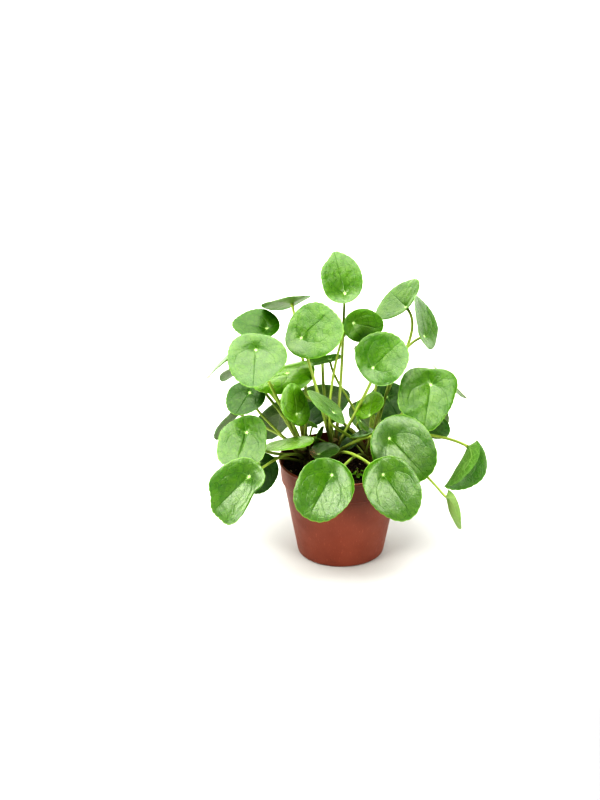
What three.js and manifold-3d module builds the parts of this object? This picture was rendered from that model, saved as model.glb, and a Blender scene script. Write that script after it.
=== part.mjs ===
// A Chinese money plant (Pilea peperomioides) in a tapered 12 cm grower's pot.
// Millimetres, +Z up, the origin in the middle of the pot's underside, -Y towards the viewer.
// Every leaf is one piece: a round blade with its stalk joined to the blade's underside.

import * as THREE from 'three';
import { mergeVertices } from 'three/addons/utils/BufferGeometryUtils.js';
import Module from 'manifold-3d';

const wasm = await Module();
wasm.setup();

// ---------- driving dimensions ----------

const GAP = 0.3;                    // clearance between pieces that touch on the real plant

const POT = {
  height: 97,
  rimRadius: 60,
  lipHeight: 2.2,
  collarHeight: 21,
  collarTopRadius: 59.2,
  collarFootRadius: 57.6,
  bodyTopRadius: 55.4,
  baseRadius: 42,
  baseRound: 2.5,
  wall: 1.3,
  floor: 2,
  segments: 40,
};

const DRAIN = { count: 8, ringRadius: 28, holeRadius: 4.5, segments: 10 };

const SOIL = { top: 85, crown: 1.2 };

// Plant stems: where each one stands, how far it leans, and its height above the soil.
const STEMS = {
  left: { x: -34, y: 6, lean: [-0.08, 0.02], height: 24, footRadius: 5, topRadius: 3.6 },
  mid: { x: -7, y: 7, lean: [0.02, -0.04], height: 28, footRadius: 5, topRadius: 3.6 },
  right: { x: 26, y: 10, lean: [0.06, 0.04], height: 26, footRadius: 5, topRadius: 3.6 },
};

// A seedling in the soil near the front of the rim.
const SEEDLING = {
  x: 16,
  y: -22,
  height: 5,
  stalkRadius: 0.6,
  leaves: 4,
  leafLength: 6,
  leafWidth: 4.5,
  leafTilt: 25,
};

const BLADE = {
  thickness: 1,
  segments: 14,
  rings: [0.5, 1],
  crease: 3,                        // softness of a folded midrib
};

// A stalk's radius at its foot and at its hub, for a leaf of fullWidth. A narrower leaf has a thinner
// one, down to the share thinnest for a leaf of no width.
const STALK = {
  footRadius: 1.75,
  hubRadius: 1.35,
  fullWidth: 60,
  thinnest: 0.5,
  sides: 5,
  steps: 9,
  foreArm: 0.42,
  hubArm: 0.3,
};

// One row for each leaf:
//   stem, the height of the stalk's foot on the stem,
//   [x, y, z] of the hub where the stalk meets the blade,
//   the compass direction that the blade faces, its tilt from lying flat, and the spin of its tip
//   away from straight downhill, in degrees,
//   blade length and width in millimetres,
//   and, where they matter: bend along the midrib, roll across it and fold of each half upwards, in
//   degrees; point of the tip in mm; shift, how far the blade's centre lies ahead of the hub as a
//   share of its length; turn and rise of the stalk at its foot in degrees; hubArm, how far the
//   stalk runs on straight out of the blade's underside as a share of its span.
const LEAVES = [
  // left plant, from the front round to the back
  ['left', 9, [-87.7, -74.6, 112.5], -110, 74, -40, 72, 46,
    { shift: 0.25, fold: 10, bend: 16, rise: 40, turn: -125 }],
  ['left', 13, [-90.1, -34.4, 140.2], -98, 42, -8, 50, 46, { bend: -14, rise: 5, turn: -150, hubArm: 0.5 }],
  ['left', 18, [-45, -17, 124], 138, 15, 100, 44, 50, { roll: 15, turn: -80, rise: 30 }],
  ['left', 20, [-42, -12, 148], -52, 80, -175, 44, 36, { roll: 20, turn: -130 }],
  ['left', 9, [-38, 44, 117], -90, 10, 150, 44, 42, { turn: 60, rise: 50 }],
  ['left', 3, [-77, -26, 103], -60, 80, -18, 40, 40, { turn: -140, rise: 45 }],
  ['left', 19, [-81, -6, 213], -90, 36, -3, 58, 58, { turn: -170, rise: 70, hubArm: 0.12 }],
  ['left', 5, [-88, 25, 155], -90, 26, -24, 44, 36, { turn: 170, rise: 60 }],
  // middle plant
  ['mid', 14, [45, -50, 140], -66, 76, 38, 76, 62, { shift: 0.24, bend: 14, rise: 45, turn: -30 }],
  ['mid', 9, [38, -84, 119], -72, 74, 30, 64, 59, { bend: 14, rise: 50, turn: -70, hubArm: 0.15 }],
  ['mid', 6, [-22, -22, 112], -90, 11, 120, 30, 25, { turn: -120, rise: 50 }],
  ['mid', 24, [12, 34, 222], -62, 88, 70, 44, 33, { turn: -150, rise: 80, hubArm: 0.15 }],
  ['mid', 20, [29, 6, 189], -105, 48, 141, 53, 52, { turn: -10, rise: 70 }],
  ['mid', 25, [3, 48, 248], -90, 41, -166, 50, 42, { point: 4, shift: 0.29, turn: 60, rise: 82 }],
  ['mid', 20, [-24, -6, 120], -20, 103, 99, 24, 18, { turn: -150, rise: 60 }],
  ['mid', 23, [-39, 18, 215], -107, 45, 141, 58, 57, { turn: 170, rise: 78, hubArm: 0.12 }],
  // right plant
  ['right', 14, [-7, -20, 155], -8, 36, 172, 48, 43, { shift: 0.19, turn: -150, rise: 60 }],
  ['right', 6, [-11, -80, 117], -109, 70, -22, 64, 60, { bend: 14, turn: -110, rise: 45 }],
  ['right', 18, [-11, 50, 179], 138, 13, 80, 40, 32, { turn: 120, rise: 70 }],
  ['right', 22, [26, -2, 143], -150, 38, -140, 34, 30, { shift: 0.36, turn: -90, rise: 70 }],
  ['right', 4, [8, 38, 103], -90, 40, -48, 28, 26, { turn: 120, rise: 30 }],
  ['right', 10, [24, -12, 128], 151, 22, -5, 26, 24, { turn: -110, rise: 60 }],
  ['right', 20, [85, 10, 170], -85, 44, -13, 64, 57, { turn: -20, rise: 60 }],
  ['right', 14, [-52, 24, 176], -110, 24, -54, 62, 40,
    { shift: 0.06, roll: 75, turn: 160, rise: 60 }],
  ['right', 12, [122, -19, 115.5], -40, 107, -42, 54, 53,
    { shift: 0.31, fold: 50, turn: -30, rise: 64, hubArm: 0.2 }],
  ['right', 4, [100, -56, 83], 14, 92, 0, 42, 34,
    { shift: 0.34, fold: 20, bend: -40, turn: -12, rise: 44, hubArm: 0.04 }],
  ['right', 10, [45, 56, 137], -90, 35, 22, 50, 42, { turn: 70, rise: 55 }],
  ['right', 6, [84, 22, 122], -90, 16, 37, 34, 32, { turn: 15, rise: 40 }],
  ['right', 20, [61.7, 75, 223.8], -155, 39, -94, 40, 54, { shift: 0.34, turn: 60, rise: 75 }],
  ['right', 22, [81, 40, 207], -18, 64, 153, 53, 46, { shift: 0.23, turn: 20, rise: 75 }],
  ['right', 24, [18, -2, 137], -12, 45, -32, 18, 14, { turn: 180, rise: 75 }],
  // small young leaves near the top of two stems
  ['left', 21, [-27, 14, 124], 50, 50, 180, 14, 12, { turn: 20, rise: 70 }],
  ['mid', 26, [-9, 17, 127], 90, 45, 170, 12, 10, { turn: 100, rise: 70 }],
  // far side
  ['left', 9, [-100, 40, 127], 150, 60, 10, 50, 46, { turn: 150, rise: 50 }],
  ['left', 3, [-60, 75, 112], 125, 65, -12, 58, 54, { turn: 100, rise: 40 }],
  ['left', 14, [-88, 70, 165], 135, 40, 6, 54, 50, { turn: 120, rise: 60 }],
  ['left', 16, [-108, 52, 180], 165, 50, -20, 48, 44, { turn: 153, rise: 62 }],
  ['left', 18, [-72, 72, 203], -90, 18, -100, 46, 44, { turn: 100, rise: 70 }],
  ['left', 22, [-48, 78, 228], 110, 35, 10, 52, 48, { turn: 80, rise: 58 }],
  ['mid', 10, [-15, 92, 122], 95, 60, 8, 60, 56, { turn: 95, rise: 50 }],
  ['mid', 16, [-20, 86, 188], 100, 40, -14, 56, 52, { turn: 110, rise: 50 }],
  ['right', 3, [35, 85, 107], 75, 65, 14, 55, 52, { turn: 80, rise: 45 }],
  ['right', 8, [80, 55, 132], 40, 55, -10, 52, 48, { turn: 40, rise: 45 }],
  ['right', 14, [98, 44, 162], 22, 50, 12, 50, 46, { turn: 10, rise: 55 }],
  ['right', 15, [40, 75, 177], 80, 45, 18, 55, 50, { turn: 85, rise: 65 }],
];

// ---------- vectors and closed meshes ----------

const toRadians = THREE.MathUtils.degToRad;

function direction(compass, climb) {
  const flat = Math.cos(toRadians(climb));
  return new THREE.Vector3(
    flat * Math.cos(toRadians(compass)),
    flat * Math.sin(toRadians(compass)),
    Math.sin(toRadians(climb)),
  );
}

// A closed mesh from a list of points and triangles.
function closedGeometry(points, triangles) {
  const geometry = new THREE.BufferGeometry();
  geometry.setAttribute('position', new THREE.Float32BufferAttribute(points.flat(), 3));
  geometry.setIndex(triangles.flat());
  return geometry;
}

function toSolid(geometry) {
  const bare = geometry.clone();
  bare.deleteAttribute('normal');
  bare.deleteAttribute('uv');
  const merged = mergeVertices(bare, 1e-4);
  return new wasm.Manifold(new wasm.Mesh({
    numProp: 3,
    vertProperties: Float32Array.from(merged.attributes.position.array),
    triVerts: Uint32Array.from(merged.index.array),
  }));
}

function toGeometry(solid) {
  const mesh = solid.getMesh();
  const geometry = new THREE.BufferGeometry();
  geometry.setAttribute('position', new THREE.Float32BufferAttribute(mesh.vertProperties, 3));
  geometry.setIndex(Array.from(mesh.triVerts));
  return geometry;
}

function joined(solids) {
  return solids.reduce((whole, solid) => whole.add(solid));
}

// A tapering rod along a curve, closed at both ends.
function rodGeometry(curve, radiusAt, sides, steps) {
  const points = [];
  const triangles = [];
  const side = new THREE.Vector3(1, 0, 0);
  for (let i = 0; i <= steps; i++) {
    const centre = curve.getPoint(i / steps);
    const tangent = curve.getTangent(i / steps);
    side.addScaledVector(tangent, -side.dot(tangent)).normalize();
    const up = tangent.clone().cross(side);
    for (let j = 0; j < sides; j++) {
      const angle = (2 * Math.PI * j) / sides;
      const radius = radiusAt(i / steps);
      points.push(centre.clone()
        .addScaledVector(side, radius * Math.cos(angle))
        .addScaledVector(up, radius * Math.sin(angle))
        .toArray());
    }
  }
  for (let i = 0; i < steps; i++) {
    for (let j = 0; j < sides; j++) {
      const a = i * sides + j;
      const b = i * sides + ((j + 1) % sides);
      triangles.push([a, b, b + sides], [a, b + sides, a + sides]);
    }
  }
  const last = steps * sides;
  for (let j = 1; j < sides - 1; j++) {
    triangles.push([0, j + 1, j], [last, last + j, last + j + 1]);
  }
  return closedGeometry(points, triangles);
}

// ---------- leaves ----------

// A point of the blade in its own axes: x towards the tip, y to its left, z out of its upper face.
// share runs from 0 at the hub to 1 at the edge, and angle goes round the blade from the tip.
function bladePoint(leaf, share, angle) {
  const tip = leaf.point * Math.exp(-((angle / 0.3) ** 2));
  const along = share * (leaf.length * (leaf.shift + Math.cos(angle) / 2) + tip);
  const across = share * (leaf.width / 2) * Math.sin(angle);
  const rollRate = toRadians(leaf.roll) / leaf.width || 1e-9;
  const bendRate = toRadians(leaf.bend) / leaf.length || 1e-9;
  const fold = toRadians(leaf.fold);
  const rolled = Math.sin(rollRate * across) / rollRate;
  const creased = Math.sqrt(rolled ** 2 + BLADE.crease ** 2) - BLADE.crease;
  const height = (Math.cos(rollRate * across) - 1) / rollRate + creased * Math.sin(fold)
    + (Math.cos(bendRate * along) - 1) / bendRate;
  return [Math.sin(bendRate * along) / bendRate, rolled * Math.cos(fold), height];
}

function bladeGeometry(leaf) {
  const points = [];
  const triangles = [];
  const count = BLADE.segments;
  const rings = BLADE.rings;
  for (const depth of [0, BLADE.thickness]) {
    const first = points.length;
    points.push([0, 0, -depth]);
    for (const share of rings) {
      for (let j = 0; j < count; j++) {
        // j is taken past half a turn as a negative angle, so the tip is at angle 0
        const turn = ((j + count / 2) % count) - count / 2;
        const [x, y, z] = bladePoint(leaf, share, (2 * Math.PI * turn) / count);
        points.push([x, y, z - depth]);
      }
    }
    const flip = depth > 0;
    const add = (a, b, c) => triangles.push(flip ? [a, c, b] : [a, b, c]);
    for (let j = 0; j < count; j++) {
      const next = (j + 1) % count;
      add(first, first + 1 + j, first + 1 + next);
      for (let ring = 1; ring < rings.length; ring++) {
        const inner = first + 1 + (ring - 1) * count;
        const outer = inner + count;
        add(inner + j, outer + j, outer + next);
        add(inner + j, outer + next, inner + next);
      }
    }
  }
  const top = 1 + (rings.length - 1) * count;
  const under = top + 1 + rings.length * count;
  for (let j = 0; j < count; j++) {
    const next = (j + 1) % count;
    triangles.push([top + j, under + j, under + next], [top + j, under + next, top + next]);
  }
  return closedGeometry(points, triangles);
}

// The blade's own axes: x along the midrib, y to its left, z out of the upper face.
function bladeAxes(leaf) {
  const normal = direction(leaf.face, 90 - leaf.tilt);
  const downhill = direction(leaf.face, -leaf.tilt);
  const left = normal.clone().cross(downhill);
  const spin = toRadians(leaf.spin);
  const midrib = downhill.multiplyScalar(Math.cos(spin)).addScaledVector(left, Math.sin(spin));
  return [midrib, normal.clone().cross(midrib), normal];
}

function stemPoint(stem, height) {
  return new THREE.Vector3(
    stem.x + stem.lean[0] * height,
    stem.y + stem.lean[1] * height,
    SOIL.top + SOIL.crown + GAP + height,
  );
}

function stemRadius(stem, height) {
  return THREE.MathUtils.lerp(stem.footRadius, stem.topRadius, height / stem.height);
}

function stalkSize(leaf) {
  return THREE.MathUtils.lerp(STALK.thinnest, 1, leaf.width / STALK.fullWidth);
}

function stalkCurve(leaf, normal) {
  const stem = STEMS[leaf.stem];
  const hub = new THREE.Vector3(...leaf.hub);
  const axis = stemPoint(stem, leaf.foot);
  const outward = Math.atan2(hub.y - axis.y, hub.x - axis.x);
  const turn = leaf.turn ?? THREE.MathUtils.radToDeg(outward);
  const start = axis.clone().addScaledVector(
    direction(turn, 0),
    stemRadius(stem, leaf.foot)
      + STALK.footRadius * stalkSize(leaf) * Math.sin(toRadians(leaf.rise)) + GAP,
  );
  const span = start.distanceTo(hub);
  const fore = start.clone().addScaledVector(direction(turn, leaf.rise), span * STALK.foreArm);
  const end = hub.clone().addScaledVector(normal, -BLADE.thickness / 2);
  const under = end.clone().addScaledVector(normal, -span * leaf.hubArm);
  return new THREE.CubicBezierCurve3(start, fore, under, end);
}

function placedBlade(leaf, axes) {
  const place = new THREE.Matrix4().makeBasis(...axes).setPosition(...leaf.hub);
  return bladeGeometry(leaf).applyMatrix4(place);
}

function leafGeometry(leaf) {
  const axes = bladeAxes(leaf);
  const normal = axes[2];
  const stalkRadius = (share) => stalkSize(leaf)
    * THREE.MathUtils.lerp(STALK.footRadius, STALK.hubRadius, share);
  const stalk = rodGeometry(stalkCurve(leaf, normal), stalkRadius, STALK.sides, STALK.steps);
  return toGeometry(joined([toSolid(placedBlade(leaf, axes)), toSolid(stalk)]));
}

const LEAF_DEFAULTS = {
  bend: 0,
  roll: 0,
  fold: 0,
  point: 0,
  shift: 0.22,
  rise: 65,
  hubArm: STALK.hubArm,
};

function makeLeaf([stem, foot, hub, face, tilt, spin, length, width, more]) {
  return { ...LEAF_DEFAULTS, stem, foot, hub, face, tilt, spin, length, width, ...more };
}

// ---------- stems ----------

function stemGeometry(stem) {
  const rings = [0, 0.25, 0.5, 0.75, 1].map((share) => share * stem.height);
  const curve = new THREE.CatmullRomCurve3(rings.map((height) => stemPoint(stem, height)));
  return rodGeometry(curve, (share) => stemRadius(stem, share * stem.height), 8, 6);
}

function seedlingGeometry() {
  const foot = new THREE.Vector3(SEEDLING.x, SEEDLING.y, SOIL.top + SOIL.crown + GAP);
  const top = foot.clone().setZ(foot.z + SEEDLING.height);
  const solids = [toSolid(rodGeometry(new THREE.LineCurve3(foot, top), () => SEEDLING.stalkRadius, 5, 2))];
  for (let i = 0; i < SEEDLING.leaves; i++) {
    const outward = 20 + (360 * i) / SEEDLING.leaves;
    const leaf = makeLeaf([null, 0, top.toArray(), outward, SEEDLING.leafTilt * (i % 2), 0,
      SEEDLING.leafLength, SEEDLING.leafWidth, { shift: 0.5 }]);
    solids.push(toSolid(placedBlade(leaf, bladeAxes(leaf))));
  }
  return toGeometry(joined(solids));
}

// ---------- pot and soil ----------

// Outer side of the pot from the middle of the underside up to the lip, as [radius, height].
function potOuterProfile() {
  const collarFoot = POT.height - POT.collarHeight;
  const lipFoot = POT.height - POT.lipHeight;
  return [
    [POT.baseRadius - POT.baseRound, 0],
    [POT.baseRadius, POT.baseRound],
    [POT.bodyTopRadius, collarFoot - 1],
    [POT.collarFootRadius, collarFoot],
    [POT.collarTopRadius, lipFoot - 0.6],
    [POT.rimRadius, lipFoot],
    [POT.rimRadius, POT.height - 0.5],
    [POT.rimRadius - 0.5, POT.height],
  ];
}

// Inner side of the pot from the lip down to the floor.
function potInnerProfile() {
  const step = POT.height - POT.collarHeight + POT.wall;
  return [
    [POT.collarTopRadius - POT.wall, POT.height],
    [POT.collarFootRadius - POT.wall, step],
    [POT.bodyTopRadius - POT.wall, step - 1],
    [POT.baseRadius - POT.wall, POT.floor],
  ];
}

function latheGeometry(profile) {
  const points = profile.map(([radius, height]) => new THREE.Vector2(radius, height));
  const geometry = new THREE.LatheGeometry(points, POT.segments);
  geometry.rotateX(Math.PI / 2);
  return geometry;
}

function potGeometry() {
  const profile = [[0, 0], ...potOuterProfile(), ...potInnerProfile(), [0, POT.floor]];
  let pot = toSolid(latheGeometry(profile));
  for (let i = 0; i < DRAIN.count; i++) {
    const angle = (2 * Math.PI * (i + 0.5)) / DRAIN.count;
    const hole = new THREE.CylinderGeometry(DRAIN.holeRadius, DRAIN.holeRadius, 4 * POT.floor,
      DRAIN.segments);
    hole.rotateX(Math.PI / 2);
    hole.translate(DRAIN.ringRadius * Math.cos(angle), DRAIN.ringRadius * Math.sin(angle), 0);
    pot = pot.subtract(toSolid(hole));
  }
  return toGeometry(pot);
}

function soilGeometry() {
  const wallSide = potInnerProfile().slice(1).reverse()
    .map(([radius, height]) => [radius - GAP, height + GAP]);
  const topRadius = THREE.MathUtils.mapLinear(SOIL.top, POT.height - POT.collarHeight, POT.height,
    POT.collarFootRadius, POT.collarTopRadius) - POT.wall - GAP;
  return latheGeometry([
    [0, POT.floor + GAP],
    ...wallSide,
    [topRadius, SOIL.top],
    [topRadius / 2, SOIL.top + SOIL.crown],
    [0, SOIL.top + SOIL.crown],
  ]);
}

// ---------- the assembly ----------

const COLOURS = {
  pot: { color: 0xa04a36, roughness: 0.5 },
  soil: { color: 0x2b1d14, roughness: 1 },
  stem: { color: 0x6b5a34, roughness: 0.8 },
  leaf: { color: 0x5f9a3c, roughness: 0.45 },
};

const plant = new THREE.Group();

function addPiece(name, geometry, colours) {
  const mesh = new THREE.Mesh(geometry, new THREE.MeshStandardMaterial({ ...colours, metalness: 0 }));
  mesh.name = name;
  plant.add(mesh);
}

addPiece('pot', potGeometry(), COLOURS.pot);
addPiece('soil', soilGeometry(), COLOURS.soil);
for (const [name, stem] of Object.entries(STEMS)) {
  addPiece(`stem_${name}`, stemGeometry(stem), COLOURS.stem);
}
addPiece('seedling', seedlingGeometry(), COLOURS.leaf);
const leafCount = { left: 0, mid: 0, right: 0 };
for (const row of LEAVES) {
  const leaf = makeLeaf(row);
  leafCount[leaf.stem] += 1;
  const number = String(leafCount[leaf.stem]).padStart(2, '0');
  addPiece(`leaf_${leaf.stem}_${number}`, leafGeometry(leaf), COLOURS.leaf);
}

export default plant;
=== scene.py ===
import math

import bpy
import numpy as np
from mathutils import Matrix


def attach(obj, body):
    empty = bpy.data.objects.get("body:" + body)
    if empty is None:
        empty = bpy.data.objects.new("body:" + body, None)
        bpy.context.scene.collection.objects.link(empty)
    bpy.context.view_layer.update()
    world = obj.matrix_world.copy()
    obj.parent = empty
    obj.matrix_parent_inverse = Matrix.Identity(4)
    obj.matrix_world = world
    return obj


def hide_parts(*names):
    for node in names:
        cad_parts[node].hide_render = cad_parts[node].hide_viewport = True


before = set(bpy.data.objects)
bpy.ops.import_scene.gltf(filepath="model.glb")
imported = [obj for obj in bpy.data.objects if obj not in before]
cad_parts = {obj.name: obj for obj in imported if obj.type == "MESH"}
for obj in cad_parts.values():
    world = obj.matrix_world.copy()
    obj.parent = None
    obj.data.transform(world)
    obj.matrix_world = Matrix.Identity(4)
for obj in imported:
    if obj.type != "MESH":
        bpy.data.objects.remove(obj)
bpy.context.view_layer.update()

MM = 0.001
TURN = 2 * math.pi

# ---------- camera and studio ----------

CAMERA_PLACE = (-0.039635, -1.987355, 1.042232)
CAMERA_PITCH = 66
CAMERA_LENS, CAMERA_SENSOR = 103.158, 36

PLANT_MIDDLE = (0, 0, 0.14)
LIGHT_COLOUR = (1, 0.985, 0.93)
# name, place, what it is aimed at, width and height, and watts
LIGHTS = (
    ("key", (-0.3, 0.0, 1.85), (-0.3, -0.1, 0), (1.9, 2.0), 61),
    ("left", (-1.35, -1.05, 0.5), PLANT_MIDDLE, (0.95, 1.05), 30),
    ("right", (1.25, -1.15, 0.45), PLANT_MIDDLE, (1.05, 1.05), 29),
)

# a darker room in front of the plant ends, and a lit white backdrop is full, this far back
ROOM_END, BACKDROP_FULL = 0.05, 0.75
ROOM_LIGHT, BACKDROP_LIGHT = 0.08, 2.4
BACKDROP_COLOUR = (1, 0.99, 0.95, 1)

cam = bpy.data.objects.new("camera", bpy.data.cameras.new("camera"))
bpy.context.scene.collection.objects.link(cam)
cam.location = CAMERA_PLACE
cam.rotation_euler = (math.radians(CAMERA_PITCH), 0, 0)
cam.data.lens = CAMERA_LENS
cam.data.sensor_width = CAMERA_SENSOR
cam.data.sensor_fit = "AUTO"
bpy.context.scene.camera = cam
bpy.context.scene.view_settings.view_transform = "Standard"
bpy.context.scene.view_settings.look = "Very High Contrast"


def area_light(name, place, aim, size, watts):
    data = bpy.data.lights.new(name, "AREA")
    data.shape = "RECTANGLE"
    data.size, data.size_y = size
    data.energy = watts
    data.color = LIGHT_COLOUR
    lamp = bpy.data.objects.new(name, data)
    lamp.location = place
    toward = np.array(aim, float) - np.array(place, float)
    lamp.rotation_euler = (
        math.atan2(math.hypot(toward[0], toward[1]), -toward[2]), 0,
        math.atan2(toward[1], toward[0]) - math.pi / 2)
    bpy.context.scene.collection.objects.link(lamp)


for light in LIGHTS:
    area_light(*light)

world = bpy.data.worlds.new("studio")
world.use_nodes = True
tree = world.node_tree
heading = tree.nodes.new("ShaderNodeSeparateXYZ")
tree.links.new(tree.nodes.new("ShaderNodeTexCoord").outputs["Generated"], heading.inputs[0])
lit = tree.nodes.new("ShaderNodeMapRange")
lit.interpolation_type = "SMOOTHSTEP"
tree.links.new(heading.outputs["Y"], lit.inputs["Value"])
for key, value in (("From Min", ROOM_END), ("From Max", BACKDROP_FULL),
                   ("To Min", ROOM_LIGHT), ("To Max", BACKDROP_LIGHT)):
    lit.inputs[key].default_value = value
backdrop = tree.nodes["Background"]
backdrop.inputs["Color"].default_value = BACKDROP_COLOUR
tree.links.new(lit.outputs[0], backdrop.inputs["Strength"])
bpy.context.scene.world = world

# ---------- procedural materials ----------


class Nodes:
    """A material's node tree, built by calls that return output sockets."""

    def __init__(self, name):
        self.material = bpy.data.materials.new(name)
        self.material.use_nodes = True
        self.tree = self.material.node_tree
        self.tree.nodes.clear()

    def feed(self, socket, value):
        if isinstance(value, bpy.types.NodeSocket):
            self.tree.links.new(value, socket)
        elif value is not None:
            socket.default_value = value

    def add(self, kind, settings=None, **inputs):
        node = self.tree.nodes.new(kind)
        for key, value in (settings or {}).items():
            setattr(node, key, value)
        for key, value in inputs.items():
            self.feed(node.inputs[key.replace("_", " ")], value)
        return node

    def math(self, operation, *values):
        node = self.add("ShaderNodeMath", {"operation": operation})
        for socket, value in zip(node.inputs, values):
            self.feed(socket, value)
        return node.outputs[0]

    def chain(self, operation, values):
        total = values[0]
        for value in values[1:]:
            total = self.math(operation, total, value)
        return total

    def plus(self, *values):
        return self.chain("ADD", values)

    def times(self, *values):
        return self.chain("MULTIPLY", values)

    def most(self, *values):
        return self.chain("MAXIMUM", values)

    def inverse(self, value):
        """One minus value."""
        return self.math("SUBTRACT", 1.0, value)

    def span(self, value, low, high, out_low=0.0, out_high=1.0):
        """value from low to high, smoothly mapped to out_low and out_high and held there."""
        node = self.add("ShaderNodeMapRange", {"interpolation_type": "SMOOTHSTEP"},
                        Value=value, From_Min=low, From_Max=high, To_Min=out_low, To_Max=out_high)
        return node.outputs[0]

    def mix(self, share, a, b):
        node = self.add("ShaderNodeMix", {"data_type": "RGBA", "clamp_factor": True})
        self.feed(node.inputs[0], share)
        self.feed(node.inputs[6], (*a, 1) if isinstance(a, tuple) else a)
        self.feed(node.inputs[7], (*b, 1) if isinstance(b, tuple) else b)
        return node.outputs[2]

    def layers(self, colour, palette, **shares):
        """colour with the palette's named colours laid over it in turn, each by its share."""
        for key, share in shares.items():
            colour = self.mix(share, colour, palette[key])
        return colour

    def noise(self, vector, scale, detail=3, roughness=0.55):
        node = self.add("ShaderNodeTexNoise", Vector=vector, Scale=scale, Detail=detail,
                        Roughness=roughness)
        return node.outputs[0]

    def cells(self, vector, scale, feature="F1"):
        node = self.add("ShaderNodeTexVoronoi", {"feature": feature}, Vector=vector, Scale=scale)
        return node.outputs["Distance"]

    def attribute(self, name):
        return self.add("ShaderNodeAttribute", {"attribute_name": name}).outputs["Vector"]

    def split(self, vector):
        return self.add("ShaderNodeSeparateXYZ", Vector=vector).outputs

    def vector(self, x, y, z):
        return self.add("ShaderNodeCombineXYZ", X=x, Y=y, Z=z).outputs[0]

    def place(self):
        """The point on the piece, in metres."""
        return self.add("ShaderNodeTexCoord").outputs["Object"]

    def bump(self, height, strength=1.0, distance=MM):
        node = self.add("ShaderNodeBump", Height=height, Strength=strength, Distance=distance)
        return node.outputs[0]

    def surface(self, colour, roughness, normal, **constants):
        shader = self.add("ShaderNodeBsdfPrincipled", Base_Color=colour, Roughness=roughness,
                          Normal=normal)
        for key, value in constants.items():
            shader.inputs[key.replace("_", " ")].default_value = value
        out = self.add("ShaderNodeOutputMaterial")
        self.tree.links.new(shader.outputs[0], out.inputs[0])
        return self.material


# all colours are linear red, green and blue
# In UPPER_SIDE, rim is a painted highlight along the blade's edge.
UPPER_SIDE = dict(
    deep=(0.035, 0.102, 0.0012), fresh=(0.062, 0.142, 0.003), young=(0.105, 0.225, 0.0015),
    # dark is painted shade, for leaves that lie in the shade of others
    dark=(0.014, 0.060, 0.004), mottle=(0.10, 0.20, 0.012), net=(0.016, 0.070, 0.002),
    # veins is drawn darker, partly the veins' own colour and partly painted shade in their sunken
    # grooves
    fine_net=(0.02, 0.10, 0.006), veins=(0.014, 0.062, 0.003), rim=(0.19, 0.34, 0.05),
    pale_veins=(0.22, 0.38, 0.10), hub=(0.50, 0.66, 0.30), specks=(0.45, 0.25, 0.16),
    scar=(0.10, 0.045, 0.02), dry_scar=(0.55, 0.24, 0.15))
UNDERSIDE = dict(
    deep=(0.125, 0.205, 0.05), pale=(0.175, 0.26, 0.08), young=(0.17, 0.36, 0.04),
    # dark is the same painted shade on the underside
    dark=(0.06, 0.125, 0.02), veins=(0.30, 0.42, 0.15), net=(0.26, 0.38, 0.13))
STALK = dict(
    # dark is the leaf's painted shade on its stalk
    green=(0.20, 0.28, 0.045), pale=(0.29, 0.37, 0.075), dark=(0.17, 0.2, 0.05),
    foot=(0.16, 0.12, 0.035))
BARK = dict(dark=(0.075, 0.05, 0.022), light=(0.23, 0.17, 0.075), green=(0.16, 0.2, 0.05))
PEAT = dict(
    black=(0.010, 0.0055, 0.0035), brown=(0.045, 0.024, 0.013), warm=(0.075, 0.036, 0.017),
    flecks=(0.30, 0.19, 0.11))
CRUMB = dict(
    black=(0.018, 0.010, 0.006), brown=(0.12, 0.062, 0.028), pale=(0.42, 0.33, 0.22),
    grain=(0.03, 0.018, 0.01))
CLAY = dict(
    # body is painted shade on the pot below the collar's step
    deep=(0.165, 0.044, 0.023), light=(0.21, 0.061, 0.033), body=(0.10, 0.027, 0.015),
    scuffs=(0.46, 0.17, 0.11), dust=(0.05, 0.026, 0.016), peat=(0.035, 0.02, 0.012))
SHEET = dict(pale=(0.45, 0.455, 0.46), white=(0.48, 0.48, 0.48), front=(0.22, 0.222, 0.237))

# Side veins lie on ovals through the hub, with their middle ahead of it and their reach sideways
# against half the blade. width is drawn and depth modelled in millimetres; share is its strength.
ARC_VEINS = (
    dict(middle=0.62, reach=0.66, fade=1.0, width=0.55, depth=0.28, share=0.7),
    dict(middle=0.45, reach=0.88, fade=0.75, width=0.4, depth=0.15, share=0.4),
)
OVAL_STEP = 0.6  # a step off the oval, against half the blade's width


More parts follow.
